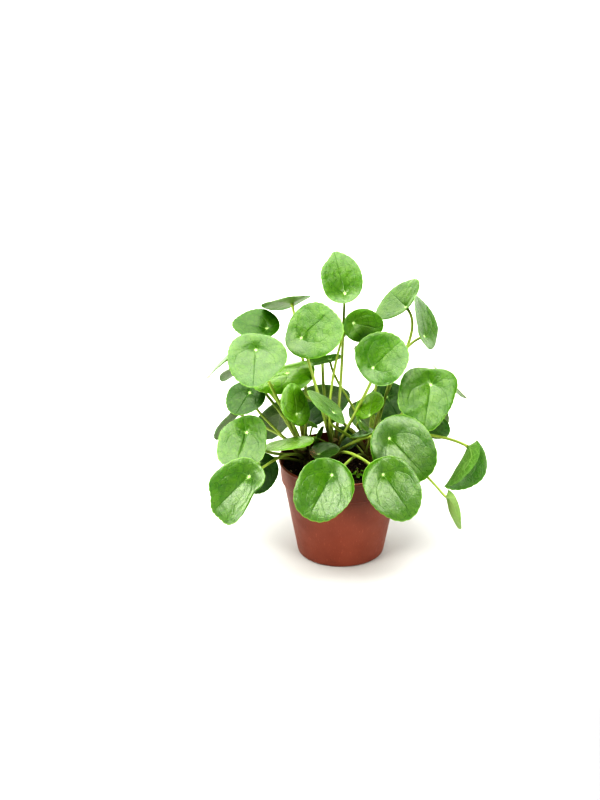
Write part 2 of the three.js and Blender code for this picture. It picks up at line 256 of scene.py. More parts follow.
def leaf_material(name, shine):
    """Blade and stalk in one. The blade's veins and net are drawn round its hub in millimetres."""
    n = Nodes(name)
    x, y, share = n.split(n.attribute("blade"))
    # dark is how much painted shade the leaf carries
    side, stalk, half = n.split(n.attribute("part"))
    dark, young, seed = n.split(n.attribute("look"))
    mm_x = n.times(x, half)
    mm_y = n.times(y, half)
    spot = n.vector(mm_x, mm_y, n.times(seed, 97.0))
    ahead = n.span(mm_x, -1.0, 1.5)
    turn = n.math("ARCTAN2", mm_y, mm_x)
    from_hub = n.math("SQRT", n.plus(n.times(mm_x, mm_x), n.times(mm_y, mm_y)))
    wander = n.times(n.plus(n.noise(spot, 0.1, 2), -0.5), 5.0)

    def line(distance, width):
        """1 where distance is nothing, falling to 0 at width."""
        return n.inverse(n.span(n.math("ABSOLUTE", distance), 0.0, width))

    # the midrib, and two pairs of side veins that leave the hub sideways and arc to the tip
    midrib_width = n.span(x, 0.0, 1.3, 0.75, 0.3)
    midrib = n.times(line(n.plus(mm_y, n.times(wander, 0.25)), midrib_width), ahead)
    arcs = []
    for arc in ARC_VEINS:
        long_way = n.math("DIVIDE", n.math("SUBTRACT", x, arc["middle"]), arc["middle"])
        wide_way = n.math("DIVIDE", y, arc["reach"])
        ring = n.math("SQRT", n.plus(n.times(long_way, long_way), n.times(wide_way, wide_way)))
        distance = n.plus(n.times(n.plus(ring, -1.0), half, OVAL_STEP), n.times(wander, 0.6))
        until_fade = n.inverse(n.span(x, arc["fade"] - 0.5, arc["fade"]))
        arcs.append(n.times(line(distance, arc["width"]), until_fade, arc["share"]))
    # short veins behind the hub, and branches that run forward and outward from the midrib
    rays = n.math("ABSOLUTE", n.math("SINE", n.plus(n.times(turn, 3.5), n.times(wander, 0.3))))
    rays = n.times(line(n.times(rays, from_hub), 1.6), n.inverse(ahead),
                   n.inverse(n.span(from_hub, 4.0, 18.0)))
    ladder = n.plus(n.times(n.math("ABSOLUTE", mm_y), -0.75), mm_x, n.times(wander, 0.5))
    rungs = n.math("PINGPONG", n.times(ladder, 0.13), 0.5)
    branches = n.times(line(rungs, 0.055), ahead,
                       n.inverse(n.span(n.math("ABSOLUTE", y), 0.35, 0.75)))
    veins = n.most(midrib, *arcs, n.times(rays, 0.5), n.times(branches, 0.25))
    # the net between the veins
    bent = n.add("ShaderNodeVectorMath", {"operation": "ADD"})
    n.feed(bent.inputs[0], spot)
    n.feed(bent.inputs[1], n.add("ShaderNodeTexNoise", Vector=spot, Scale=0.3).outputs[1])
    net = line(n.cells(bent.outputs[0], 0.17, "DISTANCE_TO_EDGE"), 0.085)
    fine_net = line(n.cells(bent.outputs[0], 0.5, "DISTANCE_TO_EDGE"), 0.12)

    # upper side, with the hub's pale star and veins that are paler near it
    clouds = n.span(n.noise(spot, 0.07, 3), 0.3, 0.7)
    mottle = n.noise(spot, 0.32, 4, 0.6)
    lobes = n.math("COSINE", n.plus(n.times(turn, 7.0), n.times(seed, 40.0)))
    star = n.times(from_hub, n.plus(1.0, n.times(lobes, -0.28)))
    near_hub = n.inverse(n.span(from_hub, 1.0, 9.0))
    specks = n.inverse(n.span(n.cells(spot, 0.05), 0.012, 0.022))
    scar = n.times(n.split(n.attribute("scar"))[0], 1.5)
    scab = n.noise(spot, 0.75, 4, 0.65)
    green = n.layers(
        n.mix(clouds, UPPER_SIDE["deep"], UPPER_SIDE["fresh"]), UPPER_SIDE,
        # dark lays the leaf's painted shade over the upper side
        young=young, dark=dark, mottle=n.span(mottle, 0.42, 0.75, 0, 0.3),
        # veins: darker lines, partly the veins' own colour and partly painted shade in their
        # grooves
        net=n.times(net, 0.45), fine_net=n.times(fine_net, 0.08), veins=n.times(veins, 0.6),
        # rim: a painted highlight along the blade's edge
        rim=n.times(n.span(share, 0.97, 0.995), 0.45),
        pale_veins=n.times(veins, near_hub, 0.55),
        hub=n.times(n.inverse(n.span(star, 0.5, 1.9)), 0.95), specks=n.times(specks, 0.85),
        scar=n.times(scar, n.span(scab, 0.42, 0.5)),
        dry_scar=n.times(scar, n.span(scab, 0.53, 0.58)))
    # the underside takes the leaf's painted shade, two and a half times as strong
    under = n.layers(
        n.mix(clouds, UNDERSIDE["deep"], UNDERSIDE["pale"]), UNDERSIDE,
        young=n.times(young, 0.5), dark=n.times(dark, 2.5), veins=n.times(veins, 0.5),
        net=n.times(net, 0.2))
    blade = n.mix(side, green, under)

    # stalk: streaked yellow-green, olive brown at its foot, and darker by the leaf's painted shade
    streaks = n.noise(n.vector(n.times(stalk, 9.0), n.times(y, 2.0), n.times(seed, 31.0)), 1.0, 3)
    foot = n.times(n.inverse(n.span(stalk, 0.0, 0.3)), n.span(seed, 0.2, 0.9, 0.25, 0.8))
    stalk_green = n.layers(n.mix(n.span(streaks, 0.3, 0.7), STALK["green"], STALK["pale"]), STALK,
                           dark=n.times(dark, 0.5), foot=foot)
    on_stalk = n.math("GREATER_THAN", side, 1.5)
    colour = n.mix(on_stalk, blade, stalk_green)

    relief = n.plus(n.times(veins, -0.15), n.times(net, -0.05), n.times(fine_net, -0.015),
                    n.times(mottle, 0.22), n.times(n.noise(spot, 1.1, 3), 0.05))
    grain = n.times(n.noise(n.place(), 2600, 2), 0.012)
    gloss = n.span(n.noise(spot, 0.5, 3), 0.3, 0.7, 0.27, 0.37)
    rough = n.plus(gloss, n.times(side, 0.12))
    normal = n.bump(n.plus(n.times(relief, n.inverse(on_stalk)), grain))
    return n.surface(colour, rough, normal, Specular_IOR_Level=shine, IOR=1.45,
                     Subsurface_Weight=0.16, Subsurface_Scale=0.002,
                     Subsurface_Radius=(0.5, 1.0, 0.15))


def stem_material():
    n = Nodes("stem")
    place = n.place()
    x, y, z = n.split(place)
    bands = n.noise(n.vector(n.times(x, 0.35), n.times(y, 0.35), z), 900, 4, 0.65)
    bark = n.layers(n.mix(n.span(bands, 0.35, 0.65), BARK["dark"], BARK["light"]), BARK,
                    green=n.span(n.noise(place, 260, 2), 0.5, 0.65, 0, 0.6))
    height = n.plus(n.times(bands, 0.5), n.times(n.noise(place, 3000, 3), 0.12))
    return n.surface(bark, n.span(bands, 0.3, 0.7, 0.85, 0.65), n.bump(height, 0.8))


def soil_material():
    n = Nodes("soil")
    place = n.place()
    lumps = n.noise(place, 320, 5, 0.65)
    flecks = n.times(n.inverse(n.span(n.cells(place, 310), 0.10, 0.16)),
                     n.span(n.noise(place, 140, 2), 0.56, 0.62))
    peat = n.layers(n.mix(n.span(lumps, 0.35, 0.7), PEAT["black"], PEAT["brown"]), PEAT,
                    warm=n.span(n.noise(place, 90, 3), 0.55, 0.75, 0, 0.7), flecks=flecks)
    height = n.plus(n.times(lumps, 1.1), n.times(n.noise(place, 1500, 4), 0.3))
    return n.surface(peat, n.span(lumps, 0.3, 0.7, 0.95, 0.75), n.bump(height, 0.9),
                     Specular_IOR_Level=0.3)


def crumb_material():
    n = Nodes("soil_crumbs")
    tone, pale, _ = n.split(n.attribute("look"))
    grain = n.noise(n.place(), 1400, 4, 0.6)
    brown = n.layers(n.mix(tone, CRUMB["black"], CRUMB["brown"]), CRUMB,
                     pale=pale, grain=n.span(grain, 0.35, 0.7, 0, 0.5))
    return n.surface(brown, n.span(grain, 0.3, 0.7, 0.9, 0.7), n.bump(grain, 0.5, 0.3 * MM),
                     Specular_IOR_Level=0.3)


def pot_material():
    n = Nodes("pot_plastic")
    place = n.place()
    x, y, z = n.split(place)
    clouds = n.span(n.noise(place, 28, 4, 0.6), 0.3, 0.7)
    scuffs = n.noise(n.vector(x, y, n.times(z, 0.18)), 900, 3)
    # darker brown blotches lie along the collar's foot and round the base
    at_collar = n.inverse(n.span(n.math("ABSOLUTE", n.plus(z, -0.0775)), 0.0, 0.006))
    at_base = n.inverse(n.span(z, 0.0, 0.012, 0.2, 1.0))
    dust = n.times(n.span(n.noise(place, 210, 4, 0.7), 0.55, 0.68), n.plus(at_collar, at_base))
    grains = n.inverse(n.span(n.cells(place, 120), 0.035, 0.055))
    clay = n.layers(
        n.mix(clouds, CLAY["deep"], CLAY["light"]), CLAY,
        # body: painted shade below the collar's step
        body=n.span(z, 0.0745, 0.0765, 0.45, 0.0), scuffs=n.span(scuffs, 0.6, 0.75, 0, 0.22),
        dust=n.times(dust, 0.55), peat=n.times(grains, 0.7))
    rough = n.span(n.noise(place, 75, 4, 0.6), 0.3, 0.7, 0.36, 0.5)
    height = n.plus(n.times(n.noise(place, 2200, 3), 0.05), n.times(scuffs, 0.02))
    return n.surface(clay, rough, n.bump(height, 0.6), Specular_IOR_Level=0.5)


def floor_material():
    """A pale sheet, darker just in front of the plant, with a painted glow behind it and in the
    distance.
    """
    n = Nodes("floor")
    place = n.place()
    depth = n.split(place)[1]
    far = n.add("ShaderNodeVectorMath", {"operation": "LENGTH"}, Vector=place).outputs["Value"]
    pale = n.layers(n.mix(n.noise(place, 3, 2), SHEET["pale"], SHEET["white"]), SHEET,
                    front=n.span(depth, -0.32, -0.10, 1.0, 0.0))
    material = n.surface(pale, 0.85, None, Specular_IOR_Level=0.2, Emission_Color=(1, 1, 1, 1))
    shader = next(node for node in n.tree.nodes if node.type == "BSDF_PRINCIPLED")
    # the sheet glows with painted light, more behind the plant and far away
    painted_glow = n.most(n.span(depth, 0.1, 1.1), n.span(far, 0.75, 1.7))
    n.feed(shader.inputs["Emission Strength"], n.plus(n.times(painted_glow, 0.7), 0.03))
    return material


# The second leaf material is a shaded copy of the first. It has less shine, so it reflects less:
# painted shade for leaves among others.
LEAF, SHADED_LEAF = leaf_material("leaf", 0.68), leaf_material("leaf_shaded", 0.35)
STEM, SOIL_STUFF = stem_material(), soil_material()
CRUMBS, POT_STUFF, FLOOR = crumb_material(), pot_material(), floor_material()

# ---------- mesh tools ----------


def make_mesh(name, points, faces, material, attributes=None):
    """A smooth mesh object from points in millimetres. attributes is {name: a vector a point}."""
    mesh = bpy.data.meshes.new(name)
    mesh.from_pydata((np.asarray(points) * MM).tolist(), [], faces)
    mesh.validate()
    for key, values in (attributes or {}).items():
        made = mesh.attributes.new(key, "FLOAT_VECTOR", "POINT")
        made.data.foreach_set("vector", np.asarray(values, np.float32).ravel())
    mesh.polygons.foreach_set("use_smooth", np.ones(len(mesh.polygons), bool))
    mesh.materials.append(material)
    made = bpy.data.objects.new(name, mesh)
    bpy.context.scene.collection.objects.link(made)
    return made


def grid_faces(rows, columns, first=0, flip=False):
    """Quads of a grid whose columns close on themselves."""
    faces = []
    for i in range(rows - 1):
        for j in range(columns):
            a = first + i * columns + j
            b = first + i * columns + (j + 1) % columns
            quad = (a, b, b + columns, a + columns)
            faces.append(quad[::-1] if flip else quad)
    return faces


def fan_faces(hub, first, count, flip=False):
    """Triangles from the point hub to the ring of count points that starts at first."""
    faces = [(hub, first + j, first + (j + 1) % count) for j in range(count)]
    return [(a, c, b) for a, b, c in faces] if flip else faces


def joined(shapes):
    """Points and faces of several shapes as one."""
    points, faces, total = [], [], 0
    for new_points, new_faces in shapes:
        points.append(new_points)
        faces += [tuple(i + total for i in face) for face in new_faces]
        total += len(new_points)
    return np.concatenate(points), faces


def even_turns(count):
    """Angles spread evenly round the circle, in radians."""
    return np.arange(count) * TURN / count


def unit_circle(count):
    turns = even_turns(count)
    return np.stack([np.cos(turns), np.sin(turns)], 1)


def level_ring(circle, radius, height):
    return np.column_stack([radius * circle, np.full(len(circle), float(height))])


def direction(compass, climb):
    c, k = math.radians(compass), math.radians(climb)
    return np.array([math.cos(k) * math.cos(c), math.cos(k) * math.sin(c), math.sin(k)])


def smooth(value, low, high):
    t = np.clip((value - low) / (high - low), 0, 1)
    return t * t * (3 - 2 * t)


def rod(path, radii, sides):
    """Points and faces of a closed rod along path, with one radius a point."""
    path = np.asarray(path, float)
    tangents = np.gradient(path, axis=0)
    tangents /= np.linalg.norm(tangents, axis=1)[:, None]
    side = np.array([1.0, 0.13, 0.07])
    turns = even_turns(sides)
    points = []
    for centre, tangent, radius in zip(path, tangents, radii):
        side = side - tangent * (side @ tangent)
        side /= np.linalg.norm(side)
        up = np.cross(tangent, side)
        ring = np.outer(np.cos(turns), side) + np.outer(np.sin(turns), up)
        points.append(centre + radius * ring)
    last = (len(path) - 1) * sides
    ends = [tuple(range(sides))[::-1], tuple(range(last, last + sides))]
    return np.concatenate(points), grid_faces(len(path), sides) + ends


# ---------- leaves ----------

# The CAD model's leaves in millimetres and degrees: stem, foot height, hub, facing, tilt, spin,
# length, width, and the turn and rise of the stalk's foot. The rest has a default. dark, the
# leaf's painted shade, and young go from 0 to 1. cup is how far the rim stands up, wave how far it
# waves and crease how deep the midrib lies. vee is how steeply the halves rise, soft how slowly
# they begin to, and cone how steeply the blade rises round the hub, less so ahead of it by open.
# edge is the outline's reach at twelve angles from the tip on, against a plain oval, and mark is
# a scar's place and size.
LEAVES = [
    # left plant, from the front round to the back
    ("left", 9, (-87.7, -74.6, 112.5), -110, 74, -40, 72, 46, -125, 40,
     dict(shift=0.25, fold=10, bend=16, dark=0.05, vee=7, soft=20,
          edge=(0.96, 1.02, 1.13, 0.81, 0.77, 1.03, 0.94, 1.04, 1.08, 1.06, 0.97, 0.88))),
    ("left", 13, (-90.1, -34.4, 140.2), -98, 42, -8, 50, 46, -150, 5,
     dict(bend=-14, hub_arm=0.5, dark=0.05, crease=1.5, vee=9, cone=4,
          edge=(1.04, 1.08, 1.12, 0.97, 0.97, 1.17, 1.16, 1.02, 1.06, 1.02, 1.08, 1.16))),
    ("left", 18, (-45, -17, 124), 138, 15, 100, 44, 50, -80, 30,
     dict(roll=15, young=1, vee=3, cone=2, cup=0)),
    ("left", 20, (-42, -12, 148), -52, 80, -175, 44, 36, -130, 65,
     dict(roll=20, young=0.9, vee=5, cone=3,
          edge=(1, 1.02, 0.98, 0.92, 0.78, 0.72, 0.95, 1.14, 0.98, 0.81, 0.77, 0.85))),
    ("left", 9, (-38, 44, 117), -90, 10, 150, 44, 42, 60, 50, dict(dark=0.9)),
    ("left", 3, (-77, -26, 103), -60, 80, -18, 40, 40, -140, 45, dict(dark=0.6)),
    ("left", 19, (-81, -6, 213), -90, 36, -3, 58, 58, -170, 70,
     dict(hub_arm=0.12, dark=0.1, vee=2, cone=3, wave=0.5,
          edge=(1.03, 0.95, 0.92, 1.01, 1.09, 1.03, 0.99, 1.06, 0.98, 0.89, 0.91, 0.97))),
    ("left", 5, (-88, 25, 155), -90, 26, -24, 44, 36, 170, 60, dict(dark=0.65)),
    # middle plant
    ("mid", 14, (45, -50, 140), -66, 76, 38, 76, 62, -30, 45,
     dict(shift=0.24, bend=14, vee=6, soft=20,
          edge=(1.03, 1.05, 1, 1, 1.04, 1.03, 1.02, 1, 0.96, 0.99, 1, 0.98))),
    ("mid", 9, (38, -84, 119), -72, 74, 30, 64, 59, -70, 50,
     dict(bend=14, hub_arm=0.15, vee=3, soft=20,
          edge=(1.13, 1.04, 0.92, 0.83, 0.86, 0.89, 0.95, 1.01, 0.92, 0.87, 0.9, 1.03))),
    ("mid", 6, (-22, -22, 112), -90, 11, 120, 30, 25, -120, 50,
     dict(dark=0.3, mark=(-9, 5, 6))),
    ("mid", 24, (12, 34, 222), -62, 88, 70, 44, 33, -150, 80,
     dict(hub_arm=0.15, young=0.7, dark=0.31)),
    ("mid", 20, (29, 6, 189), -105, 48, 141, 53, 52, -10, 70,
     dict(dark=0.15, vee=10, soft=10, cone=7, open=0.6,
          edge=(0.99, 1, 1, 1.03, 1, 0.87, 0.84, 0.99, 1.11, 1.06, 1.01, 1))),
    ("mid", 25, (3, 48, 248), -90, 41, -166, 50, 42, 60, 82,
     dict(point=4, shift=0.29, dark=0.12, vee=4, cone=17, open=0, cup=2.5,
          edge=(0.97, 0.92, 0.93, 0.92, 1.07, 1.25, 1.21, 1.1, 0.99, 0.94, 0.96, 1))),
    ("mid", 20, (-24, -6, 120), -20, 103, 99, 24, 18, -150, 60, dict(young=0.6)),
    ("mid", 23, (-39, 18, 215), -107, 45, 141, 58, 57, 170, 78,
     dict(hub_arm=0.12, vee=4, cone=3,
          edge=(0.94, 0.94, 0.91, 0.82, 0.72, 0.77, 1.01, 1.12, 1.16, 1.16, 1.12, 1.02))),
    # right plant
    ("right", 14, (-7, -20, 155), -8, 36, 172, 48, 43, -150, 60,
     dict(shift=0.19, vee=2, cone=2, cup=0, wave=0.4,
          edge=(0.95, 0.94, 0.93, 0.89, 0.93, 1.08, 0.85, 0.72, 0.72, 0.72, 0.72, 0.82))),
    ("right", 6, (-11, -80, 117), -109, 70, -22, 64, 60, -110, 45,
     dict(bend=14, dark=0.1, crease=0.7, vee=13, soft=18,
          edge=(1.05, 1, 0.93, 0.95, 0.98, 0.92, 0.84, 0.83, 0.87, 0.87, 0.94, 1.05))),
    ("right", 18, (-11, 50, 179), 138, 13, 80, 40, 32, 120, 70, dict(dark=0.5)),
    ("right", 22, (26, -2, 143), -150, 38, -140, 34, 30, -90, 70,
     dict(shift=0.36, young=1,
          edge=(0.96, 0.94, 0.98, 1.14, 1.25, 1.22, 0.54, 0.5, 1.05, 1.03, 0.9, 0.9))),
    ("right", 4, (8, 38, 103), -90, 40, -48, 28, 26, 120, 30, dict(dark=0.9)),
    ("right", 10, (24, -12, 128), 151, 22, -5, 26, 24, -110, 60, dict(dark=0.6)),
    ("right", 20, (85, 10, 170), -85, 44, -13, 64, 57, -20, 60,
     dict(vee=2, cone=3, wave=0.4, soft=20,
          edge=(1.07, 0.96, 0.83, 0.83, 1.02, 1.14, 0.87, 1.03, 1.12, 1.03, 1.05, 0.98))),
    ("right", 14, (-52, 24, 176), -110, 24, -54, 62, 40, 160, 60,
     dict(shift=0.06, roll=75, young=0.6, vee=0, cone=2, cup=-3.5)),
    ("right", 12, (122, -19, 115.5), -40, 107, -42, 54, 53, -30, 64,
     dict(shift=0.31, fold=50, hub_arm=0.2, dark=0.5)),
    ("right", 4, (100, -56, 83), 14, 92, 0, 42, 34, -12, 44,
     dict(shift=0.34, fold=20, bend=-40, hub_arm=0.04)),
    ("right", 10, (45, 56, 137), -90, 35, 22, 50, 42, 70, 55, dict(dark=0.8)),
    ("right", 6, (84, 22, 122), -90, 16, 37, 34, 32, 15, 40, dict(dark=0.7)),
    ("right", 20, (61.7, 75, 223.8), -155, 39, -94, 40, 54, 60, 75, dict(shift=0.34)),
    ("right", 22, (81, 40, 207), -18, 64, 153, 53, 46, 20, 75,
     dict(shift=0.23, dark=0.3, vee=14)),
    ("right", 24, (18, -2, 137), -12, 45, -32, 18, 14, 180, 75, dict(young=0.5)),
    # small young leaves near the top of two stems
    ("left", 21, (-27, 14, 124), 50, 50, 180, 14, 12, 20, 70, dict(young=1)),
    ("mid", 26, (-9, 17, 127), 90, 45, 170, 12, 10, 100, 70, dict(young=1)),
    # far side
    ("left", 9, (-100, 40, 127), 150, 60, 10, 50, 46, 150, 50, dict(dark=0.3)),
    ("left", 3, (-60, 75, 112), 125, 65, -12, 58, 54, 100, 40, dict(dark=0.3)),
    ("left", 14, (-88, 70, 165), 135, 40, 6, 54, 50, 120, 60, dict(dark=0.15)),
    ("left", 16, (-108, 52, 180), 165, 50, -20, 48, 44, 153, 62, dict(dark=0.1)),
    ("left", 18, (-72, 72, 203), -90, 18, -100, 46, 44, 100, 70, dict(dark=0.5)),
    ("left", 22, (-48, 78, 228), 110, 35, 10, 52, 48, 80, 58, dict(young=0.2)),
    ("mid", 10, (-15, 92, 122), 95, 60, 8, 60, 56, 95, 50, dict(dark=0.3)),
    ("mid", 16, (-20, 86, 188), 100, 40, -14, 56, 52, 110, 50, dict()),
    ("right", 3, (35, 85, 107), 75, 65, 14, 55, 52, 80, 45, dict(dark=0.2)),
    ("right", 8, (80, 55, 132), 40, 55, -10, 52, 48, 40, 45, dict()),
    ("right", 14, (98, 44, 162), 22, 50, 12, 50, 46, 10, 55, dict()),
    ("right", 15, (40, 75, 177), 80, 45, 18, 55, 50, 85, 65, dict(young=0.1)),
]
ROW_KEYS = ("stem", "foot", "hub", "face", "tilt", "spin", "length", "width", "turn", "rise")
LEAF_DEFAULTS = dict(bend=0, roll=0, fold=0, point=0, shift=0.22, hub_arm=0.3, dark=0, young=0,
                     cup=0.8, wave=0.8, crease=0.5, vee=8, soft=14, cone=6, open=0.5, edge=None,
                     mark=None)
# leaves with more painted shade than this take the shaded copy of the leaf material, with less
# shine
PAINTED_SHADE_LIMIT = 0.3

STEMS = {
    "left": dict(x=-34, y=6, lean=(-0.08, 0.02), height=24),
    "mid": dict(x=-7, y=7, lean=(0.02, -0.04), height=28),
    "right": dict(x=26, y=10, lean=(0.06, 0.04), height=26),
}
STEM_FOOT_RADIUS, STEM_TOP_RADIUS = 5, 3.6
SOIL_TOP, SOIL_CROWN, GAP = 85, 1.2, 0.3
CREASE_SOFT = 3.0
FOOT_RADIUS, HUB_RADIUS, FORE_ARM = 1.75, 1.35, 0.42
FULL_WIDTH, THINNEST = 60, 0.5
STALK_STEPS, STALK_AROUND = 34, 14

# the fine blade's relief in millimetres on a blade FINE_SIZE across, and in proportion on others
FINE_SIZE = 55
HUB_DIP, HUB_DIP_REACH = 2.7, 4.6
MIDRIB_REACH, ARC_REACH = 1.3, 2.4
RIPPLE_COUNT, RIPPLE_HEIGHT = 7, 0.045
RIM_DROOP = 0.9
RIM_WAVES = ((2, 1.0), (3, 1.0), (5, 0.35))
# the blade's thickness at its hub, what it loses towards the rim, and its rib and rounded rim
HUB_THICKNESS, RIM_LOSS, RIB_DEPTH, RIM_ROUND = 0.75, 0.4, 0.35, 0.15
FEWEST_SCALLOPS, SCALLOP_LIMIT, SCALLOP_REACH = 22, 30, 0.016
# a point's side is 0 on the blade's upper face, and these values elsewhere
RIM_SIDE, UNDER_SIDE, STALK_SIDE = 0.3, 1.0, 2.0

RING_SHARES = np.concatenate([np.linspace(0.02, 0.14, 6), np.linspace(0.18, 0.93, 18),
                              (0.96, 0.98, 0.993, 1.0)])
AROUND = 120
LEAF_SEED, STEM_SEED, SOIL_SEED, CRUMB_SEED, SEEDLING_SEED = 100, 300, 41, 77, 5


def macro_point(leaf, along, across):
    """A point of the blade's upper face in its own axes, as the CAD model bends it."""
    roll_rate = math.radians(leaf["roll"]) / leaf["width"] or 1e-9
    bend_rate = math.radians(leaf["bend"]) / leaf["length"] or 1e-9
    fold = math.radians(leaf["fold"])
    rolled = np.sin(roll_rate * across) / roll_rate
    creased = np.sqrt(rolled ** 2 + CREASE_SOFT ** 2) - CREASE_SOFT
    height = ((np.cos(roll_rate * across) - 1) / roll_rate + creased * math.sin(fold)
              + (np.cos(bend_rate * along) - 1) / bend_rate)
    return np.sin(bend_rate * along) / bend_rate, rolled * math.cos(fold), height


def edge_factor(leaf, angle):
    """How far the outline reaches at this angle from the tip, against the plain oval."""
    if leaf["edge"] is None:
        return np.ones(len(angle))
    reach = np.fft.rfft(leaf["edge"]) / len(leaf["edge"])
    total = np.full(len(angle), reach[0].real)
    for order in range(1, len(reach)):
        half = 1 if 2 * order == len(leaf["edge"]) else 2
        total += half * (reach[order] * np.exp(1j * order * angle)).real
    return total


def outline_factor(leaf, angle, chance):
    """The same with small scallops, and made uneven where the leaf's row gives no edge."""
    outline = edge_factor(leaf, angle)
    if leaf["edge"] is None:
        outline += 0.02 * np.cos(3 * angle) + 0.010 * np.sin(2 * angle + chance.uniform(0, 6.3))
        outline += 0.010 * np.sin(3 * angle + chance.uniform(0, 6.3))
    count = chance.integers(FEWEST_SCALLOPS, SCALLOP_LIMIT)
    scallops = np.abs(np.sin(count / 2 * angle + chance.uniform(0, 3)))
    return outline + (SCALLOP_REACH * scallops - 0.010)


def relief(leaf, x, y, along, across, share, angle, chance):
    """What the fine blade adds to the plain one, in millimetres out of its upper face."""
    scale = min(leaf["length"], leaf["width"]) / FINE_SIZE
    half = leaf["width"] / 2
    front = smooth(x, -0.2, 0.35)
    # the hub's dip, and the rise of the halves, the back and the rim
    reach = np.hypot(along, across)
    from_dip = np.sqrt(reach ** 2 + 0.8) - 0.9
    height = -HUB_DIP * scale * np.exp(-from_dip / (HUB_DIP_REACH * scale))
    soft = leaf["soft"] * scale
    spread = soft * np.log(np.cosh(across / soft))
    height += math.tan(math.radians(leaf["vee"])) * spread * (1 - 0.2 * spread / half) * front
    back = np.sqrt(reach ** 2 + 4) - 2
    cone = math.tan(math.radians(leaf["cone"])) * back * (1 - 0.3 * back / half)
    height += cone * (1 - leaf["open"] * front)
    height += leaf["cup"] * scale * share ** 2
    # creases along the midrib and the side veins
    ahead = smooth(x, 0.0, 0.15) * (1 - 0.75 * smooth(x, 0.7, 1.3))
    from_midrib = np.sqrt(across ** 2 + 0.1)
    height -= leaf["crease"] * scale * ahead * np.exp(-from_midrib / (MIDRIB_REACH * scale))
    until_tip = 1 - smooth(x, 0.5, 1.1)
    for arc in ARC_VEINS:
        ring = np.sqrt(((x - arc["middle"]) / arc["middle"]) ** 2 + (y / arc["reach"]) ** 2) - 1
        distance = np.sqrt((ring * leaf["width"] / 2 * OVAL_STEP) ** 2 + 0.1)
        height -= arc["depth"] * scale * np.exp(-distance / (ARC_REACH * scale)) * until_tip
    # ripples all over, waves that grow towards the rim, and a rim that droops at its very edge
    for _ in range(RIPPLE_COUNT):
        heading = chance.uniform(0, TURN)
        pitch = chance.uniform(0.25, 0.7) / scale
        phase = chance.uniform(0, TURN)
        swell = np.sin(pitch * (along * math.cos(heading) + across * math.sin(heading)) + phase)
        height += RIPPLE_HEIGHT * scale * swell * smooth(share, 0.08, 0.3)
    for count, part in RIM_WAVES:
        phase = chance.uniform(0, TURN)
        size = leaf["wave"] * scale * chance.uniform(0.5, 1.1) * part
        height += size * share ** 3 * np.sin(count * angle + phase)
    height -= RIM_DROOP * scale * share ** 10
    return height


def listed(grid):
    """A grid of points as one list of points."""
    return grid.reshape(-1, 3)


def blade_mesh(leaf, chance):
    """Points in the blade's own axes, faces, each point's place and side, and the hub's depth."""
    even = even_turns(AROUND)
    even = np.where(even > math.pi, even - TURN, even)
    # more points towards the tip
    angle = even - 0.4 * np.sin(even)
    outline = outline_factor(leaf, angle, chance)
    shares, angles = np.meshgrid(RING_SHARES, angle, indexing="ij")
    edge = 1 + (outline[None, :] - 1) * shares ** 2
    tip = leaf["point"] * np.exp(-(angles / 0.3) ** 2)
    along = shares * edge * (leaf["length"] * (leaf["shift"] + np.cos(angles) / 2) + tip)
    across = shares * edge * leaf["width"] / 2 * np.sin(angles)
    x = along / (leaf["length"] / 2)
    y = across / (leaf["width"] / 2)
    top = np.stack(macro_point(leaf, along, across), -1)
    top[..., 2] += relief(leaf, x, y, along, across, shares, angles, chance)
    thick = HUB_THICKNESS - RIM_LOSS * smooth(shares, 0.3, 1.0)
    rib = RIB_DEPTH * np.exp(-np.abs(across) / 0.8)
    rib = rib * smooth(x, 0.0, 0.15) * (1 - smooth(x, 0.6, 1.3))
    below = top.copy()
    below[..., 2] -= thick + rib
    hub_top = np.array([[0, 0, top[0, :, 2].mean() - 0.02]])
    hub_below = hub_top - (0, 0, thick[0, 0] + 0.1)
    outward = top[-1] - top[-3]
    rim = (top[-1] + below[-1]) / 2
    rim += RIM_ROUND * outward / np.linalg.norm(outward, axis=1)[:, None]
    points = np.concatenate([hub_top, listed(top), rim, listed(below[::-1]), hub_below])
    rings = len(RING_SHARES)
    last = len(points) - 1
    faces = fan_faces(0, 1, AROUND) + grid_faces(2 * rings + 1, AROUND, 1, flip=True)
    faces += fan_faces(last, last - AROUND, AROUND, flip=True)
    place = np.stack([x, y, shares], -1)
    hub = [(0, 0, 0)]
    places = np.concatenate([hub, listed(place), place[-1], listed(place[::-1]), hub])
    sides = np.repeat([0, RIM_SIDE, UNDER_SIDE],
                      [1 + rings * AROUND, AROUND, rings * AROUND + 1])
    return points, faces, places, sides, float(hub_below[0, 2])


def stem_point(stem, height):
    lean = stem["lean"]
    return np.array([stem["x"] + lean[0] * height, stem["y"] + lean[1] * height,
                     SOIL_TOP + SOIL_CROWN + GAP + height])


def stalk_size(leaf):
    """A narrower leaf has a thinner stalk."""
    return THINNEST + (1 - THINNEST) * leaf["width"] / FULL_WIDTH


